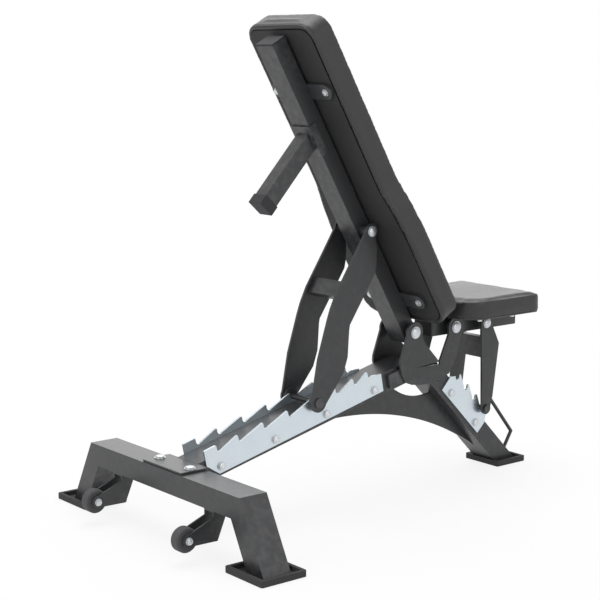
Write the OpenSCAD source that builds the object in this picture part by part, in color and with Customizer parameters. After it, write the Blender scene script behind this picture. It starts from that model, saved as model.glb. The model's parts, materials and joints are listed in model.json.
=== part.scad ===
// Adjustable weight bench: back and seat on ladders, transport wheels.
// Millimetres, +Z up, +X towards the seat, origin on the floor under the
// middle of the bench's box.

/* [Floor frame] */
// Length of the crossbeam's top face across the bench
beam_w = 576; // [480:5:680]
// Crossbeam tube, front to rear
beam_d = 70; // [50:1:90]
// Crossbeam tube, top to bottom
beam_h = 50; // [40:1:60]
// Height of the crossbeam's top face
beam_top = 154; // [135:1:190]
// Splay of the crossbeam's legs from upright
leg_splay = 28; // [15:1:35]
// Wall of every tube
tube_wall = 3; // [2:0.5:4]

/* [Feet] */
// Front foot, front to rear
front_foot_l = 115; // [100:1:140]
// Front foot, across the bench
front_foot_w = 126; // [110:1:150]
// Rear foot, front to rear
rear_foot_l = 101; // [95:1:130]
// Rear foot, across the bench
rear_foot_w = 116; // [100:1:150]
// Height of the foot's raised rim
foot_h = 14; // [10:1:22]
// Width of the foot's raised rim
foot_rim = 9; // [6:1:14]

/* [Spine and rear leg] */
// Width of the spine and rear leg tubes
spine_w = 75; // [60:1:90]
// Depth of the spine and rear leg tubes
spine_h = 50; // [40:1:60]
// Slope of the spine
spine_slope = 13.6; // [8:0.2:20]
// Slope of the rear leg
rear_slope = 45.6; // [38:0.2:55]
// Distance from the crossbeam's front to the middle of the rear foot
rear_foot_x = 1037; // [900:1:1200]
// Thickness of the centre gusset
gusset_t = 8; // [5:1:12]

/* [Ladders] */
// Thickness of the ladder plates
ladder_t = 5; // [4:0.5:8]
// Height of a tooth tip over its notch
tooth_h = 16; // [12:0.5:20]
// Pitch between the notches of the seat ladder
seat_pitch = 41.5; // [34:0.5:50]
// Diameter of the locking rods
rod_d = 12; // [8:0.5:16]

/* [Pivots] */
// Distance from the crossbeam's front to the back pivot
pivot_x = 702; // [650:1:760]
// Height of the back pivot
pivot_z = 380; // [350:1:420]
// Thickness of the pivot plates
pivot_plate_t = 6; // [4:0.5:10]
// Gap between the spine and each pivot plate
pivot_gap = 8; // [6:0.5:14]
// Shank diameter of the pivot bolts
pivot_bolt_d = 14; // [10:0.5:18]
// Radial running clearance on every pivot
run_fit = 0.06; // [0.02:0.01:0.1]
// Radial clearance of fixed bolts in their holes
bolt_fit = 0.25; // [0.1:0.05:0.5]
// Side gap between moving plates and washers
side_gap = 0.3; // [0.2:0.1:1]

/* [Back] */
// Lean of the back above the horizontal
back_angle = 60; // [55:0.5:65]
// Width of the back and seat tubes
tube_w = 60; // [50:1:65]
// Depth of the back and seat tubes
tube_h = 40; // [30:1:45]
// Length of the back tube above its pivot
back_tube_l = 794; // [700:1:850]
// Length of the back pad
back_pad_l = 804; // [720:1:900]
// Distance from the back pivot to the pad's lower end
back_pad_lift = 14; // [12:1:30]
// Width of the pad at the head
back_head_w = 236; // [200:1:260]
// Width of the pad at the hips
back_hip_w = 284; // [260:1:310]
// Thickness of the back pad
back_pad_t = 58; // [45:1:65]
// Distance from the back pivot to the support arm's pivot
arm_pivot_u = 295; // [270:1:320]

/* [Seat] */
// Length of the seat pad
seat_l = 256; // [230:1:300]
// Width of the seat pad
seat_w = 280; // [240:1:320]
// Thickness of the seat pad
seat_t = 45; // [35:1:60]
// Distance from the back pivot to the seat pad's near end
seat_gap_x = 95; // [90:1:110]
// Length of the seat tube
seat_tube_l = 288; // [270:1:320]
// Distance from the back pivot to the seat pivot, front to rear
seat_pivot_dx = 136; // [125:1:150]

/* [Grab handle] */
// Side of the square handle tube
grip_side = 40; // [30:1:45]
// Length of the handle from the back tube
grip_l = 192; // [150:1:230]
// Tilt of the handle from square to the back tube
grip_tilt = 17.7; // [0:0.5:30]

/* [Wheels] */
// Diameter of the transport wheels
wheel_d = 54; // [48:1:70]
// Width of the transport wheels
wheel_w = 24; // [18:1:32]
// Distance from the centre line to each wheel
wheel_y = 178; // [150:1:200]
// Distance from the crossbeam's front to the axle
wheel_reach = 61; // [50:1:72]
// Height of the axle
wheel_z = 52; // [40:1:60]

/* [Hidden] */
$fn = 72;
eps = 0.01;

// Where the parts meet along the bench
half_spine = spine_w / 2;
beam_bottom = beam_top - beam_h;
plate_t = 5;
plate_over = 2;
foot_base_t = 4;
front_foot_x = -28;
splay_run = tan(leg_splay);
mitre_in = beam_h * tan((90 - leg_splay) / 2);
leg_flat = beam_h / cos(leg_splay);
leg_out_y = beam_w / 2 + (beam_top - foot_base_t) * splay_run;
front_foot_y = leg_out_y - leg_flat / 2 - 3;

// Bent rod that the user lifts the bench's end by, in the rear leg's frame
lift_rod_d = 9;
lift_top = -140;
lift_low = -5;
lift_foot = 9;
lift_out = 85;
lift_rise = 12;

// Middle of the bench's length, from the crossbeam's front
rear_end = max(rear_foot_x + rear_foot_l / 2,
    rear_foot_x + lift_low * cos(rear_slope) + lift_out * sin(rear_slope) + lift_rod_d / 2);
origin_x = (rear_end - wheel_reach - wheel_d / 2) / 2;

// Spine frame: origin under the joint with the crossbeam
spine_x0 = beam_d;
spine_z0 = beam_top + plate_t - spine_h / cos(spine_slope);
spine_l = 740;
notch_z = spine_h + 6.6;
rod_r = rod_d / 2;
rod_seat_r = rod_r + side_gap;
back_notches = [75, 135.5, 208, 280, 352, 424, 480.5, 525.5];
back_notch_used = 4;
ladder_front = 33;
ladder_rear = 559;
ladder_low = 7;
ladder_bolt_d = 10;
ladder_bolt_at = [70, 225, 379, 530];
ladder_bolt_z = 22;

// Rear leg frame: origin in the rear foot
leg_seat_z = foot_base_t;
rear_leg_l = 385;
seat_notch_last = -178;
seat_notch_z = spine_h / 2 + 9.5;
seat_tooth_h = 19;
seat_notches = [for (i = [0:3]) seat_notch_last - i * seat_pitch];
seat_bolt_at = [-290, -168];

// Where the undersides of the spine and the rear leg meet, along the spine
leg_normal = [sin(rear_slope), cos(rear_slope)];
knee_s = (-spine_h / 2 - ([spine_x0, spine_z0] - [rear_foot_x, leg_seat_z]) * leg_normal)
    / (turn([1, 0], spine_slope) * leg_normal);

// Back frame: u runs up the back tube, v towards the sitter
back_bracket_t = 8;
back_v0 = tube_h / 2 + back_bracket_t;
back_bracket_u = [80, 655];
back_bracket_l = 206;
back_bracket_w = 38;
pad_bolt_y = 86;
pad_bolt_d = 8;
board_t = 12;
board_inset = 12;
pad_edge_r = 10;
pad_corner_r = 40;
waist_u = 380;
pivot_in = half_spine + pivot_gap;
pivot_out = pivot_in + pivot_plate_t;
sleeve_wall = 6;

// Support arms
arm_in = pivot_out + 0.5;
arm_t = 6;
arm_out = arm_in + arm_t;
arm_bolt_d = 12;
arm_tube_w = 40;
arm_tube_h = 22;
disc_t = arm_in - half_spine - ladder_t - 2 * side_gap;

// Seat sizes
seat_axis_z = pivot_z - 1.6;
seat_bracket_t = 8;
seat_z0 = seat_axis_z + tube_h / 2 + seat_bracket_t;
seat_x0 = pivot_x + seat_gap_x;
seat_pivot_x = pivot_x + seat_pivot_dx;
seat_tube_x0 = seat_pivot_x - 60;
seat_arm_x = seat_pivot_x + 99;
seat_bracket_x = [86, 200];
cap_t = 4;

// Points that several parts share, as [x, z]
function turn(p, a) = [p[0] * cos(a) - p[1] * sin(a), p[0] * sin(a) + p[1] * cos(a)];
function spine_point(s, z) = [spine_x0, spine_z0] + turn([s, z], spine_slope);
function leg_point(s, z) = [rear_foot_x, leg_seat_z] + turn([s, z], -rear_slope);
function back_point(u, v) = [pivot_x, pivot_z] + turn([u, -v], 180 - back_angle);
back_pivot = [pivot_x, pivot_z];
seat_pivot = [seat_pivot_x, seat_axis_z];
arm_pivot = back_point(arm_pivot_u, 0);
back_rod = spine_point(back_notches[back_notch_used], notch_z + rod_seat_r);
seat_arm_pivot = [seat_arm_x, seat_axis_z];
seat_rod = leg_point(seat_notches[0], seat_notch_z + rod_seat_r);

// Lengths of bolts and thicknesses of their heads
head_t = 5;
nut_t = 6;
washer_t = 2;

// ---------------------------------------------------------------- frames

// Moves a part from the crossbeam's front to the bench's own origin.
module placed() translate([-origin_x, 0, 0]) children();

// Both sides of the bench from the right-hand one.
module both_sides() {
    children();
    mirror([0, 1, 0]) children();
}

// Frame of the spine: X up its length, Z square to it.
module on_spine() translate([spine_x0, 0, spine_z0]) rotate([0, -spine_slope, 0]) children();

// Frame of the rear leg: X down its length, Z square to it, origin at the foot.
module on_rear_leg() translate([rear_foot_x, 0, leg_seat_z]) rotate([0, rear_slope, 0]) children();

// Frame of the back: X up the tube from the pivot, Z towards the sitter.
module on_back() translate([pivot_x, 0, pivot_z]) rotate([0, -(180 - back_angle), 0])
    rotate([180, 0, 0]) children();

// Plate in the XZ plane from an outline, with its near face at y0.
module side_plate(y0, t) translate([0, y0 + t, 0]) rotate([90, 0, 0])
    linear_extrude(t) children();

// Round bar along Y.
module bar_y(d, y0, y1) translate([0, y1, 0]) rotate([90, 0, 0]) cylinder(d = d, h = y1 - y0);

// Rectangular tube along X, centred on Y and Z.
module tube_x(l, w, h) difference() {
    translate([0, -w / 2, -h / 2]) cube([l, w, h]);
    translate([-eps, -w / 2 + tube_wall, -h / 2 + tube_wall])
        cube([l + 2 * eps, w - 2 * tube_wall, h - 2 * tube_wall]);
}

// Low-domed bolt head with its washer, standing along +Z.
module bolt_head(d) {
    cylinder(d = 2.1 * d, h = washer_t);
    translate([0, 0, washer_t]) rotate_extrude() intersection() {
        square([0.85 * d, head_t]);
        translate([0, head_t - 2.2 * d]) circle(2.2 * d);
    }
}

// Hollow bolt circle positions: one bolt through both sides along Y.
module through_bolt(p, d, half, nuts) translate([p[0], 0, p[1]]) {
    bar_y(d, -half, half);
    translate([0, -half, 0]) rotate([90, 0, 0]) bolt_head(d);
    if (nuts) translate([0, half, 0]) rotate([-90, 0, 0]) {
        cylinder(d = 2.1 * d, h = washer_t);
        translate([0, 0, washer_t]) cylinder(d = 1.85 * d, h = nut_t, $fn = 6);
    }
    else translate([0, half, 0]) rotate([-90, 0, 0]) bolt_head(d);
}

// ------------------------------------------------------------ floor frame

// Mitred outline of the crossbeam and its two splayed legs, in the YZ plane.
module beam_outline(inset) {
    w = beam_w / 2;
    out_top = w - inset * tan((90 - leg_splay) / 2);
    in_top = w - mitre_in + inset * tan((90 - leg_splay) / 2);
    shift = inset / cos(leg_splay);
    bottom_out = w + (beam_top - foot_base_t) * splay_run - shift;
    bottom_in = w + (beam_top - foot_base_t) * splay_run - leg_flat + shift;
    polygon([
        [-bottom_out, foot_base_t], [-out_top, beam_top - inset],
        [out_top, beam_top - inset], [bottom_out, foot_base_t],
        [bottom_in, foot_base_t], [in_top, beam_bottom + inset],
        [-in_top, beam_bottom + inset], [-bottom_in, foot_base_t]
    ]);
}

module crossbeam() color("#2b2c2e") placed() difference() {
    rotate([90, 0, 90]) linear_extrude(beam_d) beam_outline(0);
    translate([tube_wall, 0, 0]) rotate([90, 0, 90])
        linear_extrude(beam_d - 2 * tube_wall) beam_outline(tube_wall);
    for (y = mount_bolt_y)
        translate([mount_bolt_x, y, beam_top - 2 * tube_wall])
            cylinder(d = mount_bolt_d + 2 * bolt_fit, h = 3 * tube_wall);
}

// Foot tray with a raised rim, its low corner at the origin.
module foot_tray(l, w) difference() {
    round_block([l, w, foot_h], 5);
    translate([foot_rim, foot_rim, foot_base_t])
        round_block([l - 2 * foot_rim, w - 2 * foot_rim, foot_h], 3);
}

// Block with round upright corners.
module round_block(size, r) linear_extrude(size[2]) {
    translate([r, 0]) square([size[0] - 2 * r, size[1]]);
    translate([0, r]) square([size[0], size[1] - 2 * r]);
    for (x = [r, size[0] - r], y = [r, size[1] - r]) translate([x, y]) circle(r);
}

module front_feet() color("#26272a") placed() both_sides()
    translate([front_foot_x, front_foot_y - front_foot_w / 2, 0])
        foot_tray(front_foot_l, front_foot_w);

module rear_foot() color("#26272a") placed() difference() {
    translate([rear_foot_x - rear_foot_l / 2, -rear_foot_w / 2, 0])
        foot_tray(rear_foot_l, rear_foot_w);
    intersection() {
        on_rear_leg() translate([-rear_foot_l, -half_spine, -spine_h / 2])
            cube([2 * rear_foot_l, spine_w, spine_h]);
        translate([rear_foot_x - rear_foot_l, -rear_foot_w, foot_base_t])
            cube([2 * rear_foot_l, 2 * rear_foot_w, foot_h]);
    }
}

mount_bolt_d = 12;
mount_bolt_x = beam_d / 2 + 3;
mount_bolt_y = [-58, 58];
mount_l = 150;

module mount_plate() color("#2e2f31") placed() difference() {
    translate([3, -mount_l / 2, beam_top]) round_block([beam_d + plate_over, mount_l, plate_t], 4);
    for (y = mount_bolt_y) translate([mount_bolt_x, y, beam_top - eps])
        cylinder(d = mount_bolt_d + 2 * bolt_fit, h = plate_t + 2 * eps);
    on_spine() translate([0, -half_spine, 0]) cube([spine_l, spine_w, spine_h]);
}

module mount_bolts() color("#b9bcc0") placed() for (y = mount_bolt_y)
    translate([mount_bolt_x, y, beam_top + plate_t]) {
        bolt_head(mount_bolt_d);
        translate([0, 0, -2 * plate_t - tube_wall]) cylinder(d = mount_bolt_d, h = 2 * plate_t + tube_wall);
    }

// Cuts the spine's lower end to the crossbeam's rear face.
module spine_tube() color("#2b2c2e") placed() difference() {
    on_spine() translate([-30, 0, spine_h / 2]) tube_x(spine_l + 30, spine_w, spine_h);
    translate([-200, -100, 0]) cube([200 + spine_x0, 200, 400]);
    on_spine() for (s = ladder_bolt_at) translate([s, 0, ladder_bolt_z])
        bar_y(ladder_bolt_d + 2 * bolt_fit, -half_spine - 1, half_spine + 1);
    on_rear_leg() translate([-rear_leg_l - 100, -100, -spine_h / 2])
        cube([rear_leg_l + 200, 200, 200]);
}

// Saw-tooth plate: a round seat, a hook in front of it and a ramp behind for each notch.
module back_ladder_outline() difference() {
    polygon(concat(
        [[ladder_front, 37], [ladder_bolt_at[0] - 8, ladder_low],
         [ladder_rear - 2, ladder_low + 3], [ladder_rear, notch_z - 3]],
        [for (i = [len(back_notches) - 1:-1:0]) let (s = back_notches[i]) each [
            [s + rod_seat_r, notch_z + 0.35 * rod_seat_r], [s, notch_z + 0.3],
            [s - rod_seat_r - 0.5, notch_z + rod_seat_r], [s - rod_seat_r - 0.4, notch_z + tooth_h - 2],
            [s - rod_seat_r - 2.5, notch_z + tooth_h + 1]
        ]],
        [[ladder_front + 1, notch_z + tooth_h]]
    ));
    for (s = back_notches) translate([s, notch_z + rod_seat_r]) circle(rod_seat_r);
    for (s = ladder_bolt_at) translate([s, ladder_bolt_z]) circle(d = ladder_bolt_d + 2 * bolt_fit);
}

module back_ladder_right() color("#b7c3cb") placed() on_spine()
    side_plate(-half_spine - ladder_t, ladder_t) back_ladder_outline();

module back_ladder_left() color("#b7c3cb") placed() on_spine()
    side_plate(half_spine, ladder_t) back_ladder_outline();

module back_ladder_bolts() color("#b9bcc0") placed() on_spine() for (s = ladder_bolt_at)
    through_bolt([s, ladder_bolt_z], ladder_bolt_d, half_spine + ladder_t, true);

module gusset() color("#2b2c2e") placed() side_plate(-gusset_t / 2, gusset_t) difference() {
    polygon([
        spine_point(320, 0), spine_point(knee_s, 0),
        leg_point(-72, -spine_h / 2), leg_point(-72, -spine_h / 2 - 14)
    ]);
    translate([gusset_arch_x, gusset_arch_z - gusset_arch_r]) circle(gusset_arch_r, $fn = 300);
    translate([gusset_hole_x, gusset_hole_z + gusset_hole_r]) circle(gusset_hole_r, $fn = 160);
}
gusset_arch_x = 498;
gusset_arch_z = 192;
gusset_arch_r = 816;
gusset_hole_x = 768;
gusset_hole_z = 208;
gusset_hole_r = 157;

module rear_leg() color("#2b2c2e") placed() difference() {
    on_rear_leg() translate([-rear_leg_l, 0, 0]) tube_x(rear_leg_l + 60, spine_w, spine_h);
    translate([rear_foot_x - 200, -100, -100]) cube([400, 200, 100 + foot_base_t]);
    on_rear_leg() for (s = seat_bolt_at)
        translate([s, 0, 0]) bar_y(ladder_bolt_d + 2 * bolt_fit, -half_spine - 1, half_spine + 1);
}

// ------------------------------------------------------------ pivot plates

pivot_lobe_r = 25;

module pivot_outline() difference() {
    union() {
        polygon([
            [-25, -4], [-38, -40], [-47, -64], [-48, -78], [-43, -98], [-30, -119],
            [-10, -127], [20, -131], [58, -132], [114, -115], [139, -74],
            seat_pivot - back_pivot + [24, -6], seat_pivot - back_pivot + [-24, 6],
            [111, -19], [82, -82], [32, -30], [24, -12]
        ]);
        circle(pivot_lobe_r);
        translate(seat_pivot - back_pivot) circle(pivot_lobe_r);
    }
    circle(d = pivot_bolt_d + 2 * bolt_fit);
    translate(seat_pivot - back_pivot) circle(d = pivot_bolt_d + 2 * bolt_fit);
    polygon([[6, -86.5], [82, -81], [84, -88]]);
}

module pivot_plate_right() color("#2b2c2e") placed() translate([pivot_x, 0, pivot_z])
    side_plate(-pivot_out, pivot_plate_t) pivot_outline();

module pivot_plate_left() color("#2b2c2e") placed() translate([pivot_x, 0, pivot_z])
    side_plate(pivot_in, pivot_plate_t) pivot_outline();

// Blocks that join the pivot plates to the spine and the rear leg.
module pivot_spacers() color("#2b2c2e") placed() both_sides() {
    on_spine() translate([ladder_rear + spacer_gap, half_spine, 8]) cube([50, pivot_gap, spine_h - 16]);
    on_rear_leg() translate([-rear_leg_l + 4, half_spine, -6]) cube([34, pivot_gap, 26]);
}
spacer_gap = 18;

module back_pivot_bolt() color("#b9bcc0") placed()
    through_bolt(back_pivot, pivot_bolt_d, pivot_out, false);

module seat_pivot_bolt() color("#b9bcc0") placed()
    through_bolt(seat_pivot, pivot_bolt_d, pivot_out, false);

// ------------------------------------------------------------ seat ladders

module seat_ladder_outline() difference() {
    polygon(concat(
        [[seat_notches[3] - 20, spine_h / 2 + 2], [seat_notches[3] - 18, -14], [seat_notch_last + 36, -14],
         [seat_notch_last + 36, 20], [seat_notch_last + 24, seat_notch_z + 4]],
        [for (s = seat_notches) each [
            [s + rod_seat_r - 3, seat_notch_z + seat_tooth_h],
            [s + rod_seat_r - 5, seat_notch_z + seat_tooth_h - 2.5],
            [s + 0.65 * rod_seat_r, seat_notch_z + 1.7 * rod_seat_r],
            [s + rod_seat_r - 0.4, seat_notch_z + rod_seat_r], [s, seat_notch_z + 0.3],
            [s - rod_seat_r - 0.6, seat_notch_z + 0.7 * rod_seat_r]
        ]]
    ));
    for (s = seat_notches) translate([s, seat_notch_z + rod_seat_r]) circle(rod_seat_r);
    for (s = seat_bolt_at) translate([s, 0]) circle(d = ladder_bolt_d + 2 * bolt_fit);
}

module seat_ladder_right() color("#b7c3cb") placed() on_rear_leg()
    side_plate(-half_spine - ladder_t, ladder_t) seat_ladder_outline();

module seat_ladder_left() color("#b7c3cb") placed() on_rear_leg()
    side_plate(half_spine, ladder_t) seat_ladder_outline();

module seat_ladder_bolts() color("#b9bcc0") placed() on_rear_leg() for (s = seat_bolt_at)
    through_bolt([s, 0], ladder_bolt_d, half_spine + ladder_t, true);

// Round rod between two points of the XZ plane, with a ball at its far end.
module rod_xz(a, b, d) translate([a[0], 0, a[1]]) rotate([0, atan2(b[0] - a[0], b[1] - a[1]), 0]) {
    cylinder(d = d, h = norm(b - a));
    translate([0, 0, norm(b - a)]) sphere(d = d);
}

module lift_handle() color("#2b2c2e") placed() on_rear_leg() {
    rod_xz([lift_top, spine_h / 2], [lift_top, lift_out + lift_rise], lift_rod_d);
    rod_xz([lift_top, lift_out + lift_rise], [lift_low, lift_out], lift_rod_d);
    rod_xz([lift_foot, spine_h / 2 - tube_wall + lift_rod_d / 2], [lift_low, lift_out], lift_rod_d);
}

// ---------------------------------------------------------------- wheels

cheek_t = 4;
cheek_gap = 1.2;
cheek_l = 40;
cheek_low_x = 12;
cheek_low_z = 38;
axle_d = 8;

module wheel_cheek() difference() {
    union() {
        polygon([[2, beam_bottom], [cheek_l, beam_bottom], [cheek_low_x, cheek_low_z],
            [-wheel_reach + 3, wheel_z - 13], [-wheel_reach - 7, wheel_z + 11], [2, beam_bottom - 14]]);
        translate([-wheel_reach, wheel_z]) circle(14);
    }
    translate([-wheel_reach, wheel_z]) circle(d = axle_d + 2 * bolt_fit);
}

module wheel_brackets() color("#2b2c2e") placed() both_sides() {
    for (y = [-wheel_w / 2 - cheek_gap - cheek_t, wheel_w / 2 + cheek_gap])
        side_plate(wheel_y + y, cheek_t) wheel_cheek();
    translate([2, wheel_y - wheel_w / 2 - cheek_gap, beam_bottom - cheek_t])
        cube([cheek_l - 8, wheel_w + 2 * cheek_gap, cheek_t]);
}

module wheel_axles() color("#b9bcc0") placed() both_sides() translate([0, wheel_y, 0])
    through_bolt([-wheel_reach, wheel_z], axle_d, wheel_w / 2 + cheek_gap + cheek_t, false);

tyre_t = 6;

module wheel_hub(side) translate([-wheel_reach, side * wheel_y, wheel_z]) rotate([90, 0, 0]) difference() {
    cylinder(d = wheel_d - 2 * tyre_t, h = wheel_w, center = true);
    cylinder(d = axle_d + 2 * run_fit, h = wheel_w + 1, center = true);
}

module wheel_tyre(side) translate([-wheel_reach, side * wheel_y, wheel_z]) rotate([90, 0, 0])
    rotate_extrude() polygon([
        [wheel_d / 2 - tyre_t, -wheel_w / 2], [wheel_d / 2 - 2, -wheel_w / 2],
        [wheel_d / 2, -wheel_w / 2 + 3], [wheel_d / 2, wheel_w / 2 - 3],
        [wheel_d / 2 - 2, wheel_w / 2], [wheel_d / 2 - tyre_t, wheel_w / 2]
    ]);

module wheel_right() color("#3a3b3e") placed() wheel_hub(-1);
module wheel_left() color("#3a3b3e") placed() wheel_hub(1);
module tyre_right() color("#2a2b2d") placed() wheel_tyre(-1);
module tyre_left() color("#2a2b2d") placed() wheel_tyre(1);

// ------------------------------------------------------------------ back

back_tube_low = -22;

module back_tube() color("#2b2c2e") placed() on_back() difference() {
    union() {
        translate([back_tube_low, 0, 0]) tube_x(back_tube_l - back_tube_low, tube_w, tube_h);
        bar_y(pivot_bolt_d + 2 * sleeve_wall, -pivot_in + side_gap, pivot_in - side_gap);
        translate([arm_pivot_u, 0, 0]) bar_y(arm_bolt_d + 2 * sleeve_wall, -arm_in + side_gap, arm_in - side_gap);
    }
    bar_y(pivot_bolt_d + 2 * run_fit, -pivot_in, pivot_in);
    translate([arm_pivot_u, 0, 0]) bar_y(arm_bolt_d + 2 * bolt_fit, -arm_in, arm_in);
}

module back_tube_cap() color("#1c1c1e") placed() on_back() {
    translate([back_tube_l, -tube_w / 2, -tube_h / 2]) cube([cap_t, tube_w, tube_h]);
    translate([back_tube_l - 18, -tube_w / 2 + tube_wall, -tube_h / 2 + tube_wall])
        cube([18, tube_w - 2 * tube_wall, tube_h - 2 * tube_wall]);
}

// Flat cross bracket with half-round ends, centred on the origin.
module cross_bracket(l, w, t, at_y) difference() {
    linear_extrude(t) {
        square([w, l - w], center = true);
        for (s = [-1, 1]) translate([0, s * (l - w) / 2]) circle(d = w);
    }
    for (s = [-1, 1]) translate([0, s * at_y, -1]) cylinder(d = pad_bolt_d + 2 * bolt_fit, h = t + 2);
}

module back_brackets() color("#2b2c2e") placed() on_back() for (u = back_bracket_u)
    translate([u, 0, tube_h / 2]) cross_bracket(back_bracket_l, back_bracket_w, back_bracket_t, pad_bolt_y);

module pad_bolt(base_t) {
    translate([0, 0, -base_t]) rotate([180, 0, 0]) bolt_head(pad_bolt_d);
    translate([0, 0, -base_t]) cylinder(d = pad_bolt_d, h = base_t + board_t - 2);
}

module back_bolts() color("#b9bcc0") placed() on_back() for (u = back_bracket_u, s = [-1, 1])
    translate([u, s * pad_bolt_y, back_v0]) pad_bolt(back_bracket_t);

// Points of a rounded corner about a centre, from angle a0 through a quarter turn.
function corner(c, r, a0) = [for (i = [0:6]) c + r * [cos(a0 + 15 * i), sin(a0 + 15 * i)]];

// Plan outline of the back pad: wide at the hips, narrower at the head.
module back_plan(inset) {
    low = back_pad_lift + inset;
    high = back_pad_lift + back_pad_l - inset;
    hip = back_hip_w / 2 - inset;
    head = back_head_w / 2 - inset;
    r = pad_corner_r - inset;
    flank = [[waist_u + 44, head], [waist_u + 8, head + 1.5], [waist_u - 50, (hip + head) / 2 + 2],
        [waist_u - 108, hip - 3], [waist_u - 140, hip]];
    polygon(concat(
        corner([high - r, head - r], r, 0), flank, corner([low + r, hip - r], r, 90),
        corner([low + r, r - hip], r, 180), [for (i = [4:-1:0]) [flank[i][0], -flank[i][1]]],
        corner([high - r, r - head], r, 270)
    ));
}

// Side outline of a pad with its two upper edges rounded.
module pad_side(l, t, r) {
    square([l, t - r]);
    translate([r, 0]) square([l - 2 * r, t]);
    for (x = [r, l - r]) translate([x, t - r]) circle(r);
}

module back_board() color("#1c1c1e") placed() on_back() translate([0, 0, back_v0]) difference() {
    linear_extrude(board_t) back_plan(board_inset);
    for (u = back_bracket_u, s = [-1, 1]) translate([u, s * pad_bolt_y, -1])
        cylinder(d = pad_bolt_d + 2 * bolt_fit, h = board_t - 1);
}

module back_pad() color("#232325") placed() on_back() difference() {
    intersection() {
        translate([0, 0, back_v0]) linear_extrude(back_pad_t) back_plan(0);
        translate([back_pad_lift, back_hip_w, back_v0]) rotate([90, 0, 0])
            linear_extrude(2 * back_hip_w) pad_side(back_pad_l, back_pad_t, pad_edge_r);
    }
    translate([0, 0, back_v0 - 1]) linear_extrude(board_t + 1) back_plan(board_inset);
}

// Grab handle: a saddle under the back tube and a square tube.
saddle_u = 551;
saddle_l = 78;
saddle_t = 4;
grip_cap_l = 22;

module handle_saddle() color("#2b2c2e") placed() on_back() difference() {
    translate([saddle_u - saddle_l / 2, -tube_w / 2 - saddle_t, -tube_h / 2 - saddle_t])
        cube([saddle_l, tube_w + 2 * saddle_t, saddle_t + 16]);
    translate([saddle_u - saddle_l, -tube_w / 2, -tube_h / 2]) cube([2 * saddle_l, tube_w, tube_h]);
}

// Frame of the handle: X out along it from the saddle.
module on_grip() on_back() translate([saddle_u, 0, -tube_h / 2 - saddle_t])
    rotate([0, 90 + grip_tilt, 0]) children();

module handle_tube() color("#2b2c2e") placed() difference() {
    on_grip() translate([-30, 0, 0]) tube_x(grip_l + 30, grip_side, grip_side);
    on_back() translate([0, -100, -tube_h / 2 - saddle_t]) cube([900, 200, 200]);
}

module handle_cap() color("#1c1c1e") placed() on_grip() difference() {
    translate([grip_l - grip_cap_l, -grip_side / 2 - 2, -grip_side / 2 - 2])
        cube([grip_cap_l + 3, grip_side + 4, grip_side + 4]);
    translate([grip_l - grip_cap_l - 1, -grip_side / 2, -grip_side / 2])
        cube([grip_cap_l + 1, grip_side, grip_side]);
}

module arm_pivot_bolts() color("#b9bcc0") placed()
    through_bolt(arm_pivot, arm_bolt_d, arm_out + side_gap, false);

// ------------------------------------------------------------ support arm

// Point beside the line from the arm's pivot to its rod: t along, n square to it.
function arm_point(t, n) = let (d = back_rod - arm_pivot, m = norm(d))
    t * d + n * [d[1], -d[0]] / m;

module arm_outline() difference() {
    union() {
        polygon([
            arm_point(0.02, 17), arm_point(0.166, 28), arm_point(0.39, 46), arm_point(0.486, 48.5),
            arm_point(0.551, 47.5), arm_point(0.776, 40), arm_point(0.893, 30), arm_point(1, 21),
            arm_point(1, -21), arm_point(0.8, -45), arm_point(0.706, -43), arm_point(0.56, -23),
            arm_point(0.532, -20.5), arm_point(0.376, -34), arm_point(0.209, -47.6),
            arm_point(0.166, -44.5), arm_point(0.084, -31.7), arm_point(0.02, -17)
        ]);
        circle(18);
        translate(back_rod - arm_pivot) circle(22);
    }
    circle(d = arm_bolt_d + 2 * run_fit);
    translate(back_rod - arm_pivot) circle(d = rod_d + 2 * bolt_fit);
}

module arm_plate_right() color("#2b2c2e") placed() translate([arm_pivot[0], 0, arm_pivot[1]])
    side_plate(-arm_out, arm_t) arm_outline();

module arm_plate_left() color("#2b2c2e") placed() translate([arm_pivot[0], 0, arm_pivot[1]])
    side_plate(arm_in, arm_t) arm_outline();

module arm_tube() color("#2b2c2e") placed()
    translate([arm_pivot[0] + arm_point(0.37, 22)[0], 0, arm_pivot[1] + arm_point(0.37, 22)[1]])
        rotate([0, 33, 0]) rotate([0, 0, 90]) translate([-arm_in, 0, 0]) tube_x(2 * arm_in, arm_tube_h, arm_tube_w);

module arm_rod() color("#2b2c2e") placed() translate([back_rod[0], 0, back_rod[1]]) {
    bar_y(rod_d, -arm_out, arm_out);
    both_sides() {
        bar_y(36, arm_in - disc_t, arm_in);
        bar_y(24, arm_out, arm_out + 4);
    }
}

// ------------------------------------------------------------------ seat

module seat_tube() color("#2b2c2e") placed() difference() {
    union() {
        translate([seat_tube_x0, 0, seat_axis_z]) tube_x(seat_tube_l, tube_w, tube_h);
        translate([seat_pivot[0], 0, seat_pivot[1]])
            bar_y(pivot_bolt_d + 2 * sleeve_wall, -pivot_in + side_gap, pivot_in - side_gap);
        translate([seat_arm_pivot[0], 0, seat_arm_pivot[1]])
            bar_y(arm_bolt_d + 2 * sleeve_wall, -arm_in + side_gap, arm_in - side_gap);
    }
    translate([seat_pivot[0], 0, seat_pivot[1]]) bar_y(pivot_bolt_d + 2 * run_fit, -pivot_in, pivot_in);
    translate([seat_arm_pivot[0], 0, seat_arm_pivot[1]]) bar_y(arm_bolt_d + 2 * bolt_fit, -arm_in, arm_in);
}

module seat_tube_caps() color("#1c1c1e") placed() for (x = [seat_tube_x0 - cap_t, seat_tube_x0 + seat_tube_l])
    translate([x, -tube_w / 2, seat_axis_z - tube_h / 2]) cube([cap_t, tube_w, tube_h]);

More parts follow.
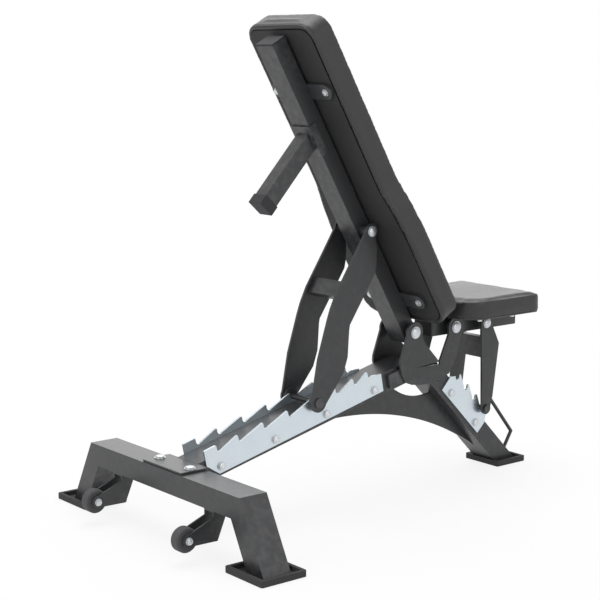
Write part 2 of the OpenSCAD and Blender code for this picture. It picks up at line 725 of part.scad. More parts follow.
module seat_brackets() color("#2b2c2e") placed() for (x = seat_bracket_x)
    translate([seat_x0 + x, 0, seat_z0 - seat_bracket_t])
        cross_bracket(back_bracket_l, back_bracket_w, seat_bracket_t, pad_bolt_y);

module seat_bolts() color("#b9bcc0") placed() for (x = seat_bracket_x, s = [-1, 1])
    translate([seat_x0 + x, s * pad_bolt_y, seat_z0]) pad_bolt(seat_bracket_t);

// Plan outline of the seat pad: large corners next to the back pad.
module seat_plan(inset) {
    near_r = 62 - inset;
    far_r = 30 - inset;
    w = seat_w / 2 - inset;
    high = seat_l - inset;
    polygon(concat(
        corner([high - far_r, w - far_r], far_r, 0), corner([inset + near_r, w - near_r], near_r, 90),
        corner([inset + near_r, near_r - w], near_r, 180), corner([high - far_r, far_r - w], far_r, 270)
    ));
}

module seat_board() color("#1c1c1e") placed() translate([seat_x0, 0, seat_z0]) difference() {
    linear_extrude(board_t) seat_plan(board_inset);
    for (x = seat_bracket_x, s = [-1, 1]) translate([x, s * pad_bolt_y, -1])
        cylinder(d = pad_bolt_d + 2 * bolt_fit, h = board_t - 1);
}

module seat_pad() color("#232325") placed() translate([seat_x0, 0, seat_z0]) difference() {
    intersection() {
        linear_extrude(seat_t) seat_plan(0);
        translate([0, seat_w, 0]) rotate([90, 0, 0])
            linear_extrude(2 * seat_w) pad_side(seat_l, seat_t, pad_edge_r);
    }
    translate([0, 0, -1]) linear_extrude(board_t + 1) seat_plan(board_inset);
}

module seat_arm_bolts() color("#b9bcc0") placed()
    through_bolt(seat_arm_pivot, arm_bolt_d, arm_out + side_gap, false);

seat_arm_drop = seat_rod - seat_arm_pivot;

module seat_arm_outline() difference() {
    union() {
        polygon([
            [-17, 0], [-16, -30], [-13, -100], seat_arm_drop + [-15, 4], seat_arm_drop + [15, 4],
            seat_arm_drop + [22, 30], [46, -56], [24, -12], [16, 6]
        ]);
        circle(18);
        translate(seat_arm_drop) circle(15);
    }
    circle(d = arm_bolt_d + 2 * run_fit);
    translate(seat_arm_drop) circle(d = rod_d + 2 * bolt_fit);
}

module seat_arm_right() color("#2b2c2e") placed() translate([seat_arm_pivot[0], 0, seat_arm_pivot[1]])
    side_plate(-arm_out, arm_t) seat_arm_outline();

module seat_arm_left() color("#2b2c2e") placed() translate([seat_arm_pivot[0], 0, seat_arm_pivot[1]])
    side_plate(arm_in, arm_t) seat_arm_outline();

module seat_arm_tube() color("#2b2c2e") placed()
    translate([seat_arm_pivot[0] + 2, 0, seat_arm_pivot[1] - 62]) rotate([0, 0, 90])
        translate([-arm_in, 0, 0]) tube_x(2 * arm_in, arm_tube_h, 52);

module seat_arm_rod() color("#2b2c2e") placed() translate([seat_rod[0], 0, seat_rod[1]]) {
    bar_y(rod_d, -arm_out, arm_out);
    both_sides() bar_y(20, arm_out, arm_out + 5);
}

// ---------------------------------------------------------------- output
crossbeam();
front_feet();
rear_foot();
mount_plate();
mount_bolts();
spine_tube();
back_ladder_right();
back_ladder_left();
back_ladder_bolts();
gusset();
rear_leg();
pivot_plate_right();
pivot_plate_left();
pivot_spacers();
back_pivot_bolt();
seat_pivot_bolt();
seat_ladder_right();
seat_ladder_left();
seat_ladder_bolts();
lift_handle();
wheel_brackets();
wheel_axles();
wheel_right();
wheel_left();
tyre_right();
tyre_left();
back_tube();
back_tube_cap();
back_brackets();
back_bolts();
back_board();
back_pad();
handle_saddle();
handle_tube();
handle_cap();
arm_pivot_bolts();
arm_plate_right();
arm_plate_left();
arm_tube();
arm_rod();
seat_tube();
seat_tube_caps();
seat_brackets();
seat_bolts();
seat_board();
seat_pad();
seat_arm_bolts();
seat_arm_right();
seat_arm_left();
seat_arm_tube();
seat_arm_rod();
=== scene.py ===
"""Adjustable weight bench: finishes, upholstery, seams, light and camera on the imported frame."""

import json
import logging
import math
from dataclasses import dataclass, field
from enum import Enum
from typing import Any, Callable, Iterable, Sequence

import bmesh
import bpy
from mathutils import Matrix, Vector, noise


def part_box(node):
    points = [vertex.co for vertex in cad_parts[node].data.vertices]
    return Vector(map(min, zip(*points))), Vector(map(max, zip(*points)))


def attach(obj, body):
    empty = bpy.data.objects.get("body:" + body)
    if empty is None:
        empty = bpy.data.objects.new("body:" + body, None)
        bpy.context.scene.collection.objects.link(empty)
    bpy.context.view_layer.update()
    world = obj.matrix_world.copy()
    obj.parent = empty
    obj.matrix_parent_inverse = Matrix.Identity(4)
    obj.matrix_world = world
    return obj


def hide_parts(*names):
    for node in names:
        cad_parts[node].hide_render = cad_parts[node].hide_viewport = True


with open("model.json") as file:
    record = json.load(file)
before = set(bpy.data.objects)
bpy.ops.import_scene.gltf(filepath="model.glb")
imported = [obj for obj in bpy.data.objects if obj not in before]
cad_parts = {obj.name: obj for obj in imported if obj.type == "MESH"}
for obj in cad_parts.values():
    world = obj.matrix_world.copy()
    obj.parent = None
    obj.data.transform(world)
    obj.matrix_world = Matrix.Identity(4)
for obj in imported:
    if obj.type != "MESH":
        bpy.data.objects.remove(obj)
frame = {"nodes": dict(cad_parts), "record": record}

log = logging.getLogger("weight_bench")


# --------------------------------------------------------------- shader tools


class Sock:
    """A node socket that takes part in Python expressions and adds Math nodes."""

    def __init__(self, sheet: "NodeSheet", out: Any) -> None:
        """Keeps the sheet of nodes and the wrapped output socket."""
        self.sheet = sheet
        self.out = out

    def _math(self, operation: str, a: Any, b: Any) -> "Sock":
        """Adds one Math node.

        Args:
            operation: the Math node's operation.
            a: first value, a Sock or a number.
            b: second value, a Sock or a number.

        Returns:
            The node's result.
        """
        return self.sheet.add("ShaderNodeMath", {"operation": operation}, {0: a, 1: b})

    def __add__(self, other: Any) -> "Sock":
        """Sum."""
        return self._math("ADD", self, other)

    def __radd__(self, other: Any) -> "Sock":
        """Sum with a number on the left."""
        return self._math("ADD", other, self)

    def __sub__(self, other: Any) -> "Sock":
        """Difference."""
        return self._math("SUBTRACT", self, other)

    def __rsub__(self, other: Any) -> "Sock":
        """Difference with a number on the left."""
        return self._math("SUBTRACT", other, self)

    def __mul__(self, other: Any) -> "Sock":
        """Product."""
        return self._math("MULTIPLY", self, other)

    def __rmul__(self, other: Any) -> "Sock":
        """Product with a number on the left."""
        return self._math("MULTIPLY", other, self)

    def __truediv__(self, other: Any) -> "Sock":
        """Quotient."""
        return self._math("DIVIDE", self, other)

    def __pow__(self, other: Any) -> "Sock":
        """Power."""
        return self._math("POWER", self, other)

    def clip(self, low: float, high: float) -> "Sock":
        """The value held between two limits."""
        return self._math("MINIMUM", self._math("MAXIMUM", self, low), high)


class NodeSheet:
    """The node tree of one material or of the world, filled through one method."""

    def __init__(self, tree: bpy.types.NodeTree) -> None:
        """Empties the tree and keeps it."""
        self.tree = tree
        self.tree.nodes.clear()
        self._place: Sock | None = None

    def add(self, kind: str, settings: dict[str, Any], inputs: dict[Any, Any], out: Any = 0) -> Sock:
        """Adds a node, sets it up and joins its inputs.

        Args:
            kind: the node's type name.
            settings: properties set before the sockets; "stops" fills a colour ramp.
            inputs: socket name or number to a value or a Sock.
            out: name or number of the output to return.

        Returns:
            The chosen output.
        """
        node = self.tree.nodes.new(kind)
        for name, value in settings.items():
            if name == "stops":
                ramp = node.color_ramp
                while len(ramp.elements) < len(value):
                    ramp.elements.new(0.5)
                for element, (at, level) in zip(ramp.elements, value):
                    element.position = at
                    element.color = (level, level, level, 1.0)
            else:
                setattr(node, name, value)
        for name, value in inputs.items():
            if isinstance(value, Sock):
                self.tree.links.new(value.out, node.inputs[name])
            else:
                node.inputs[name].default_value = value
        return Sock(self, node.outputs[out])

    def place(self) -> Sock:
        """Object coordinates in metres, shared by every texture of the sheet."""
        if self._place is None:
            self._place = self.add("ShaderNodeTexCoord", {}, {}, "Object")
        return self._place

    def grain(self, scale: float, detail: float = 2.0, rough: float = 0.5) -> Sock:
        """Noise from 0 to 1 with its scale in cells per metre."""
        return self.add("ShaderNodeTexNoise", {}, {"Vector": self.place(), "Scale": scale, "Detail": detail, "Roughness": rough})

    def stretched(self, scale: tuple[float, float, float], detail: float = 2.0) -> Sock:
        """Noise drawn out along an axis by a different scale each way."""
        where = self.add("ShaderNodeVectorMath", {"operation": "MULTIPLY"}, {0: self.place(), 1: scale})
        return self.add("ShaderNodeTexNoise", {}, {"Vector": where, "Scale": 1.0, "Detail": detail})

    def pebbles(self, scale: float) -> Sock:
        """Distance to the cell edges of a fine cell pattern, as in a hide's grain."""
        return self.add("ShaderNodeTexVoronoi", {"feature": "DISTANCE_TO_EDGE"}, {"Vector": self.place(), "Scale": scale}, "Distance")

    def ramp(self, value: Sock, stops: Sequence[tuple[float, float]]) -> Sock:
        """Grey ramp over a value."""
        return self.add("ShaderNodeValToRGB", {"stops": stops}, {"Fac": value})

    def blend(self, share: Any, a: Any, b: Any) -> Sock:
        """Mix of two colours by a share from 0 to 1."""
        return self.add("ShaderNodeMix", {"data_type": "RGBA"}, {0: share, 6: a, 7: b}, 2)

    def edges(self, low: float, high: float) -> Sock:
        """1 along outward edges and 0 on the faces: where paint wears, and where the vinyl's painted sheen goes."""
        point = self.add("ShaderNodeNewGeometry", {}, {}, "Pointiness")
        return ((point - low) / (high - low)).clip(0.0, 1.0)

    def bump(self, height: Sock, depth: float, strength: float = 1.0) -> Sock:
        """Surface normal from a height, with its depth in metres."""
        return self.add("ShaderNodeBump", {}, {"Height": height, "Distance": depth, "Strength": strength})

    def surface(self, shader: Sock) -> None:
        """Joins a shader to the material's output."""
        self.add_output("ShaderNodeOutputMaterial", shader)

    def add_output(self, kind: str, shader: Sock) -> None:
        """Adds an output node and joins its surface."""
        node = self.tree.nodes.new(kind)
        self.tree.links.new(shader.out, node.inputs["Surface"])


def rgb(r: float, g: float, b: float) -> tuple[float, float, float, float]:
    """A linear colour with full alpha."""
    return (r, g, b, 1.0)


# -------------------------------------------------------------------- finishes


@dataclass(frozen=True)
class Finish:
    """Base of all finishes: makes its material once and hands it out."""

    name: str

    def material(self) -> bpy.types.Material:
        """The finish's material, made on first use."""
        found = bpy.data.materials.get(self.name)
        if found is None:
            found = bpy.data.materials.new(self.name)
            found.use_nodes = True
            self.draw(NodeSheet(found.node_tree))
        return found

    def draw(self, n: NodeSheet) -> None:
        """Fills the sheet; each finish has its own."""
        raise NotImplementedError


@dataclass(frozen=True)
class PowderCoat(Finish):
    """Satin black powder coat on steel, with its fine orange peel and paler edges."""

    base: tuple[float, float, float] = (0.030, 0.031, 0.033)
    shine: float = 0.36

    def draw(self, n: NodeSheet) -> None:
        """Speckled colour, uneven shine and orange peel."""
        speck = n.grain(900.0, 2.0, 0.6)
        cloud = n.grain(9.0, 3.0)
        worn = n.edges(0.53, 0.60) * n.ramp(n.grain(60.0), ((0.40, 0.0), (0.75, 1.0)))
        dark = tuple(c * 0.72 for c in self.base)
        pale = tuple(c * 1.30 for c in self.base)
        paint = n.blend(cloud * 0.06 + speck * 0.94, rgb(*dark), rgb(*pale))
        colour = n.blend(worn * 0.55, paint, rgb(0.13, 0.13, 0.135))
        rough = (self.shine - 0.05 + cloud * 0.02 + speck * 0.08).clip(0.2, 0.8)
        peel = n.bump(n.grain(520.0, 1.0) * 0.7 + speck * 0.3, 0.00010, 0.5)
        n.surface(n.add("ShaderNodeBsdfPrincipled", {}, {
            "Base Color": colour, "Roughness": rough, "Normal": peel, "Specular IOR Level": 0.5, "Coat Roughness": 0.3}))


@dataclass(frozen=True)
class Zinc(Finish):
    """Zinc plating: bluish, cloudy and finely brushed."""

    base: tuple[float, float, float] = (0.66, 0.73, 0.77)
    shine: float = 0.30
    lines: tuple[float, float, float] = (60.0, 60.0, 900.0)

    def draw(self, n: NodeSheet) -> None:
        """Cloudy tint, faint spangle and rolling lines."""
        cloud = n.grain(22.0, 3.0)
        lines = n.stretched(self.lines)
        spangle = n.add("ShaderNodeTexVoronoi", {"feature": "F1"}, {"Vector": n.place(), "Scale": 260.0}, "Distance")
        cool = tuple(c * k for c, k in zip(self.base, (0.88, 0.93, 0.98)))
        warm = tuple(min(1.0, c * k) for c, k in zip(self.base, (1.10, 1.06, 1.03)))
        tint = n.blend(cloud, rgb(*cool), rgb(*warm))
        colour = n.blend((lines * 0.35 + spangle * 0.25).clip(0.0, 1.0), tint, rgb(*(c * 0.86 for c in self.base)))
        rough = (self.shine - 0.08 + lines * 0.14 + cloud * 0.06).clip(0.12, 0.7)
        normal = n.bump(lines * 0.6 + spangle * 0.4, 0.00006, 0.4)
        n.surface(n.add("ShaderNodeBsdfPrincipled", {}, {
            "Base Color": colour, "Metallic": 0.9, "Roughness": rough, "Normal": normal}))


@dataclass(frozen=True)
class Rubber(Finish):
    """Moulded rubber or plastic with a fine matt texture."""

    base: tuple[float, float, float] = (0.030, 0.030, 0.032)
    shine: float = 0.6
    texture: float = 700.0
    depth: float = 0.00012

    def draw(self, n: NodeSheet) -> None:
        """Dusty colour, matt shine and moulded texture."""
        fine = n.grain(self.texture, 3.0, 0.6)
        dust = n.grain(30.0, 4.0)
        dark = tuple(c * 0.75 for c in self.base)
        pale = tuple(c * 1.45 for c in self.base)
        colour = n.blend((dust * 0.6 + fine * 0.4 + n.edges(0.52, 0.6) * 0.5).clip(0.0, 1.0), rgb(*dark), rgb(*pale))
        rough = (self.shine + fine * 0.12 - dust * 0.08).clip(0.25, 0.95)
        n.surface(n.add("ShaderNodeBsdfPrincipled", {}, {
            "Base Color": colour, "Roughness": rough, "Normal": n.bump(fine, self.depth, 0.6)}))


@dataclass(frozen=True)
class Vinyl(Finish):
    """Black upholstery vinyl with a pebbled grain, and a painted sheen along its rounded edges."""

    base: tuple[float, float, float] = (0.018, 0.018, 0.019)
    shine: float = 0.30
    cells: float = 620.0

    def draw(self, n: NodeSheet) -> None:
        """Pebbled grain, soft creases and uneven shine."""
        cells = (n.pebbles(self.cells) * 6.0).clip(0.0, 1.0)
        small = (n.pebbles(self.cells * 2.1) * 8.0).clip(0.0, 1.0)
        creases = n.grain(26.0, 4.0, 0.6)
        cloud = n.grain(6.0, 2.0)
        valley = tuple(c * 0.55 for c in self.base)
        pale = tuple(c * 1.5 for c in self.base)
        hide = n.blend((cells * 0.7 + creases * 0.3).clip(0.0, 1.0), rgb(*valley), rgb(*pale))
        # painted sheen: the colour turns paler along the pad's rounded edges, standing in for the shine of vinyl
        # stretched over them
        colour = n.blend(n.edges(0.51, 0.57) * 0.3, hide, rgb(0.05, 0.05, 0.052))
        rough = (self.shine + 0.12 - cells * 0.12 + cloud * 0.10 - creases * 0.04).clip(0.2, 0.8)
        normal = n.bump(cells * 0.6 + small * 0.25 + creases * 0.4, 0.00022, 0.55)
        n.surface(n.add("ShaderNodeBsdfPrincipled", {}, {
            "Base Color": colour, "Roughness": rough, "Normal": normal, "Specular IOR Level": 0.5}))


@dataclass(frozen=True)
class BackingCloth(Finish):
    """Thin black woven cloth stapled over the pad board."""

    base: tuple[float, float, float] = (0.016, 0.016, 0.017)
    threads: float = 900.0

    def draw(self, n: NodeSheet) -> None:
        """Plain weave from two crossed sets of threads, with lint."""
        weft = n.add("ShaderNodeTexWave", {"bands_direction": "Y"}, {"Vector": n.place(), "Scale": self.threads / 3.1, "Distortion": 0.6}, "Fac")
        warp = n.add("ShaderNodeTexWave", {"bands_direction": "DIAGONAL"}, {"Vector": n.place(), "Scale": self.threads / 3.1, "Distortion": 0.6}, "Fac")
        lint = n.grain(40.0, 4.0)
        weave = weft * warp
        colour = n.blend((weave * 0.6 + lint * 0.4).clip(0.0, 1.0), rgb(*(c * 0.6 for c in self.base)), rgb(*(c * 1.8 for c in self.base)))
        rough = (0.62 + lint * 0.2 - weave * 0.08).clip(0.4, 0.95)
        n.surface(n.add("ShaderNodeBsdfPrincipled", {}, {
            "Base Color": colour, "Roughness": rough, "Normal": n.bump(weave, 0.00015, 0.6)}))


@dataclass(frozen=True)
class StudioFloor(Finish):
    """Plain pale floor that stays white to the camera and keeps the bench's shadow."""

    base: tuple[float, float, float] = (0.86, 0.86, 0.86)
    lift: float = 0.84

    def draw(self, n: NodeSheet) -> None:
        """Pale floor mixed with white for the rays that show the background."""
        path = n.tree.nodes.new("ShaderNodeLightPath")
        seen = (Sock(n, path.outputs["Is Camera Ray"]) + Sock(n, path.outputs["Is Glossy Ray"])
                + Sock(n, path.outputs["Is Transmission Ray"])).clip(0.0, 1.0)
        reach = n.add("ShaderNodeVectorMath", {"operation": "LENGTH"}, {0: n.place()}, "Value")
        lift = (self.lift + (reach - 0.9) * 0.14).clip(self.lift, 1.0)
        tone = n.blend(n.grain(3.0), rgb(*self.base), rgb(*(c * 1.02 for c in self.base)))
        plain = n.add("ShaderNodeBsdfPrincipled", {}, {"Base Color": tone, "Roughness": 0.9, "Specular IOR Level": 0.1})
        white = n.add("ShaderNodeEmission", {}, {"Color": rgb(1.0, 1.0, 1.0), "Strength": 1.0})
        n.surface(n.add("ShaderNodeMixShader", {}, {0: seen * lift, 1: plain, 2: white}))


class Look(Enum):
    """The finishes by the material slot that each stands for."""

    black_steel = PowderCoat("powder_coat_black")
    zinc_plate = Zinc("zinc_ladder_plate")
    zinc_bolt = Zinc("zinc_bolt", (0.74, 0.75, 0.76), 0.24, (300.0, 300.0, 300.0))
    foot_rubber = Rubber("foot_rubber", (0.030, 0.031, 0.033), 0.55, 650.0)
    cap_plastic = Rubber("cap_plastic", (0.020, 0.020, 0.022), 0.45, 900.0, 0.00008)
    wheel_plastic = Rubber("wheel_plastic", (0.022, 0.022, 0.024), 0.40, 800.0, 0.00008)
    wheel_tyre = Rubber("wheel_tyre", (0.17, 0.172, 0.176), 0.60, 500.0)
    pad_cover = Vinyl("pad_vinyl")
    pad_board = BackingCloth("pad_backing_cloth")


# ------------------------------------------------------------------ mesh tools


def dress(piece: bpy.types.Object, look: Look) -> None:
    """Gives a piece one finish in place of all it has."""
    piece.data.materials.clear()
    piece.data.materials.append(look.value.material())


def soften(piece: bpy.types.Object, width: float) -> None:
    """Shades a solid cleanly and rounds its sharp edges.

    Args:
        piece: the solid's object; its own mesh stays as it is.
        width: how far each edge is rounded, in metres, or 0 for none.
    """
    piece.data.shade_smooth()
    weld = piece.modifiers.new("weld", "WELD")
    weld.merge_threshold = 1e-5
    if width > 0.0:
        flat = piece.modifiers.new("flat_faces", "DECIMATE")
        flat.decimate_type = "DISSOLVE"
        flat.angle_limit = math.radians(0.4)
        bevel = piece.modifiers.new("edge_round", "BEVEL")
        bevel.width = width
        bevel.segments = 2
        bevel.limit_method = "ANGLE"
        bevel.angle_limit = math.radians(38.0)
        bevel.use_clamp_overlap = True
        shade = piece.modifiers.new("face_shade", "WEIGHTED_NORMAL")
        shade.weight = 100
    else:
        split = piece.modifiers.new("sharp_edges", "EDGE_SPLIT")
        split.split_angle = math.radians(32.0)


def new_piece(name: str, mesh: bpy.types.Mesh, body: str, look: Look) -> bpy.types.Object:
    """Links a mesh as a finished piece that rides on a body.

    Args:
        name: the piece's name.
        mesh: its mesh, in the bench's frame, in metres.
        body: the body it moves with.
        look: its finish.

    Returns:
        The new object.
    """
    piece = bpy.data.objects.new(name, mesh)
    bpy.context.scene.collection.objects.link(piece)
    dress(piece, look)
    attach(piece, body)
    log.info("%s: %d faces on %s", name, len(mesh.polygons), body)
    return piece


def tube_along(bm: bmesh.types.BMesh, path: Sequence[Vector], radius: Callable[[float], float], closed: bool, sides: int = 8) -> None:
    """Adds a round tube along a path.

    Args:
        bm: the mesh to add to.
        path: points along the tube, in metres.
        radius: tube radius at a distance along the path.
        closed: whether the path joins its own start.
        sides: faces round the tube.
    """
    count = len(path)
    rings = []
    run = 0.0
    across = None
    for i, at in enumerate(path):
        ahead = path[(i + 1) % count] if closed or i + 1 < count else at
        behind = path[i - 1] if closed or i > 0 else at
        along = (ahead - behind).normalized()
        if across is None:
            across = along.orthogonal().normalized()
        across = (across - along * across.dot(along)).normalized()
        other = along.cross(across)
        r = radius(run)
        rings.append([bm.verts.new(at + (across * math.cos(a) + other * math.sin(a)) * r)
                      for a in (2 * math.pi * k / sides for k in range(sides))])
        run += (ahead - at).length
    for i in range(count if closed else count - 1):
        a, b = rings[i], rings[(i + 1) % count]
        for k in range(sides):
            bm.faces.new((a[k], a[(k + 1) % sides], b[(k + 1) % sides], b[k]))
    if not closed:
        bm.faces.new(rings[0][::-1])
        bm.faces.new(rings[-1])


def finished_mesh(bm: bmesh.types.BMesh, name: str) -> bpy.types.Mesh:
    """Turns a bmesh into a smooth mesh and frees it."""
    bmesh.ops.recalc_face_normals(bm, faces=bm.faces)
    mesh = bpy.data.meshes.new(name)
    bm.to_mesh(mesh)
    bm.free()
    mesh.shade_smooth()
    return mesh


def section_loop(mesh: bpy.types.Mesh, point: Vector, normal: Vector) -> list[Vector]:
    """The longest closed loop in which a plane cuts a mesh.

    Args:
        mesh: the mesh to cut; it stays as it is.
        point: a point of the plane.
        normal: the plane's normal.

    Returns:
        The loop's points in order.
    """
    bm = bmesh.new()
    bm.from_mesh(mesh)
    cut = bmesh.ops.bisect_plane(bm, geom=bm.verts[:] + bm.edges[:] + bm.faces[:], plane_co=point, plane_no=normal)
    edges = {e for e in cut["geom_cut"] if isinstance(e, bmesh.types.BMEdge)}
    best: list[Vector] = []
    while edges:
        edge = edges.pop()
        walk = [edge.verts[0], edge.verts[1]]
        while True:
            step = next((e for e in walk[-1].link_edges if e in edges), None)
            if step is None:
                break
            edges.discard(step)
            walk.append(step.other_vert(walk[-1]))
        if len(walk) > len(best):
            best = [v.co.copy() for v in walk]
    bm.free()
    return best[:-1]


def evened(loop: Sequence[Vector], step: float) -> list[Vector]:
    """A closed loop with points at even spacing, smoothed a little."""
    total = sum((loop[i] - loop[i - 1]).length for i in range(len(loop)))
    count = max(12, int(total / step))
    points, gone, i = [], 0.0, 0
    for k in range(count):
        want = total * k / count
        while gone + (loop[(i + 1) % len(loop)] - loop[i % len(loop)]).length < want:
            gone += (loop[(i + 1) % len(loop)] - loop[i % len(loop)]).length
            i += 1
        a, b = loop[i % len(loop)], loop[(i + 1) % len(loop)]
        points.append(a.lerp(b, min(1.0, (want - gone) / max((b - a).length, 1e-9))))
    for _ in range(3):
        points = [(points[j - 1] + points[j] * 2 + points[(j + 1) % count]) / 4 for j in range(count)]
    return points


# ------------------------------------------------------------------- upholstery


@dataclass
class Cushion:
    """A foam pad under vinyl: blown up from its solid, then seamed and creased."""

    node: str
    body: str
    face: Vector
    base: Vector
    thick: float
    voxel: float = 0.0055
    shrink: float = 0.0008
    cap: float = 0.0045
    pressure: float = 4.0
    welts: tuple[float, ...] = (0.06,)
    welt_r: float = 0.0014

    def height(self, at: Vector) -> float:
        """Height of a point above the pad's back, as a share of its thickness."""
        return (at - self.base).dot(self.face) / self.thick

    def build(self) -> bpy.types.Object:
        """Makes the cushion, its seams and its stitches.

        Returns:
            The cushion's object.
        """
        source = frame["nodes"][self.node]
        mesh = source.data.copy()
        piece = new_piece(f"{self.node}_cushion", mesh, self.body, Look.pad_cover)
        self.remesh(piece)
        self.draw_in(piece.data)
        self.inflate(piece)
        self.relax(piece.data, 1)
        self.subdivide(piece)
        self.crease(piece.data)
        piece.data.shade_smooth()
        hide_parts(self.node)
        self.seams(piece)
        return piece

    def remesh(self, piece: bpy.types.Object) -> None:
        """Evens the mesh into small squares."""
        step = piece.modifiers.new("even", "REMESH")
        step.mode = "VOXEL"
        step.voxel_size = self.voxel
        self.apply(piece)

    def subdivide(self, piece: bpy.types.Object) -> None:
        """Adds one level of subdivision."""
        step = piece.modifiers.new("fine", "SUBSURF")
        step.levels = 1
        self.apply(piece)

    def apply(self, piece: bpy.types.Object) -> None:
        """Turns the piece's modifiers into its mesh."""
        graph = bpy.context.evaluated_depsgraph_get()
        made = bpy.data.meshes.new_from_object(piece.evaluated_get(graph))
        piece.modifiers.clear()
        old = piece.data
        piece.data = made
        bpy.data.meshes.remove(old)
        dress(piece, Look.pad_cover)

    def freedom(self, at: Vector) -> float:
        """How far a point may swell: none at the back, all from a third of the thickness."""
        h = self.height(at)
        t = min(1.0, max(0.0, (h - 0.12) / 0.28))
        return t * t * (3 - 2 * t)

    def draw_in(self, mesh: bpy.types.Mesh) -> None:
        """Starts smaller than the solid, so that swelling ends at its size."""
        normals = [v.normal.copy() for v in mesh.vertices]
        for v, normal in zip(mesh.vertices, normals):
            v.co = v.co - normal * (self.shrink * self.freedom(v.co))

    def inflate(self, piece: bpy.types.Object) -> None:
        """Blows the pad up as cloth, then keeps how far each point went outwards, up to the cap."""
        scene = bpy.context.scene
        start = [v.co.copy() for v in piece.data.vertices]
        outward = [v.normal.copy() for v in piece.data.vertices]
        held = piece.vertex_groups.new(name="held")
        for v in piece.data.vertices:
            held.add([v.index], 1.0 - self.freedom(v.co), "REPLACE")
        cloth = piece.modifiers.new("cloth", "CLOTH")
        s = cloth.settings
        s.quality = 5
        s.mass = 0.3
        s.tension_stiffness = 18.0
        s.compression_stiffness = 18.0
        s.shear_stiffness = 8.0
        s.bending_stiffness = 0.8
        s.use_pressure = True
        s.uniform_pressure_force = self.pressure
        s.effector_weights.gravity = 0.0
        s.vertex_group_mass = "held"
        cloth.point_cache.frame_start = 1
        cloth.point_cache.frame_end = 20
        for f in range(1, 21):
            scene.frame_set(f)
        graph = bpy.context.evaluated_depsgraph_get()
        done = piece.evaluated_get(graph)
        ends = [v.co.copy() for v in done.data.vertices]
        piece.modifiers.clear()
        piece.vertex_groups.clear()
        for v, a, b, out in zip(piece.data.vertices, start, ends, outward):
            swell = max(0.0, (b - a).dot(out))
            v.co = a + out * min(swell, self.cap * self.freedom(a))
        scene.frame_set(1)

    def relax(self, mesh: bpy.types.Mesh, rounds: int) -> None:
        """Smooths the swollen side a little, and leaves the back as it is."""
        bm = bmesh.new()
        bm.from_mesh(mesh)
        free = [v for v in bm.verts if self.freedom(v.co) > 0.5]
        for _ in range(rounds):
            bmesh.ops.smooth_vert(bm, verts=free, factor=0.5, use_axis_x=True, use_axis_y=True, use_axis_z=True)
        bm.to_mesh(mesh)
        bm.free()

    def crease(self, mesh: bpy.types.Mesh) -> None:
        """Presses in soft wrinkles and the groove beside each welt."""
        normals = [v.normal.copy() for v in mesh.vertices]
        for v, normal in zip(mesh.vertices, normals):
            h = self.height(v.co)
            side = 1.0 - abs(normal.dot(self.face))
            pucker = noise.noise(v.co * 22.0) * 0.0003 + noise.noise(v.co * 70.0) * 0.0001
            groove = sum(math.exp(-((h - w) * self.thick / 0.0032) ** 2) for w in self.welts) * side
            v.co = v.co + normal * (pucker * self.freedom(v.co) - 0.0014 * groove)

    def seams(self, piece: bpy.types.Object) -> None:
        """Lays a welt in each groove and a row of stitches beside it."""
        for i, share in enumerate(self.welts):
            loop = section_loop(piece.data, self.base + self.face * (share * self.thick), self.face)
            path = evened(loop, 0.006)
            bm = bmesh.new()
            tube_along(bm, path, lambda run: self.welt_r, True, 8)
            new_piece(f"{self.node}_welt_{i + 1}", finished_mesh(bm, f"{self.node}_welt"), self.body, Look.pad_cover)
            self.stitches(path, i)

    def stitches(self, path: Sequence[Vector], row: int) -> None:
        """Short threads along a welt, just off it towards the pad's face."""
        middle = sum(path, Vector()) / len(path)
        bm = bmesh.new()
        count = len(path)
        for k in range(count):
            a, b = path[k], path[(k + 1) % count]
            out = (a - middle)
            out = (out - self.face * out.dot(self.face)).normalized()
            lift = self.face * (0.0032 if row == 0 else -0.0032) + out * 0.0001
            tube_along(bm, [a.lerp(b, t) + lift for t in (0.12, 0.5, 0.88)], lambda run: 0.00038, False, 5)
        new_piece(f"{self.node}_stitches_{row + 1}", finished_mesh(bm, f"{self.node}_stitches"), self.body, Look.pad_cover)


@dataclass
class Upholstery:
    """The back and seat cushions with their backing boards."""

    lean: float = 60.0

    def build(self) -> None:
        """Builds both cushions from their solids."""
        up = Vector((-math.cos(math.radians(self.lean)), 0.0, math.sin(math.radians(self.lean))))
        face = Vector((up.z, 0.0, -up.x))
        back = self.extent("back_pad", face)
        Cushion("back_pad", "back", face, back[0], back[1]).build()
        low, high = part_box("seat_pad")
        Cushion("seat_pad", "seat", Vector((0.0, 0.0, 1.0)), low.copy(), high.z - low.z, cap=0.0060).build()

    def extent(self, node: str, face: Vector) -> tuple[Vector, float]:
        """A node's lowest point along a direction and its thickness that way."""
        points = [v.co.copy() for v in frame["nodes"][node].data.vertices]
        low = min(points, key=lambda p: p.dot(face))
        high = max(p.dot(face) for p in points)
        return low, high - low.dot(face)


# ------------------------------------------------------------------------ steel


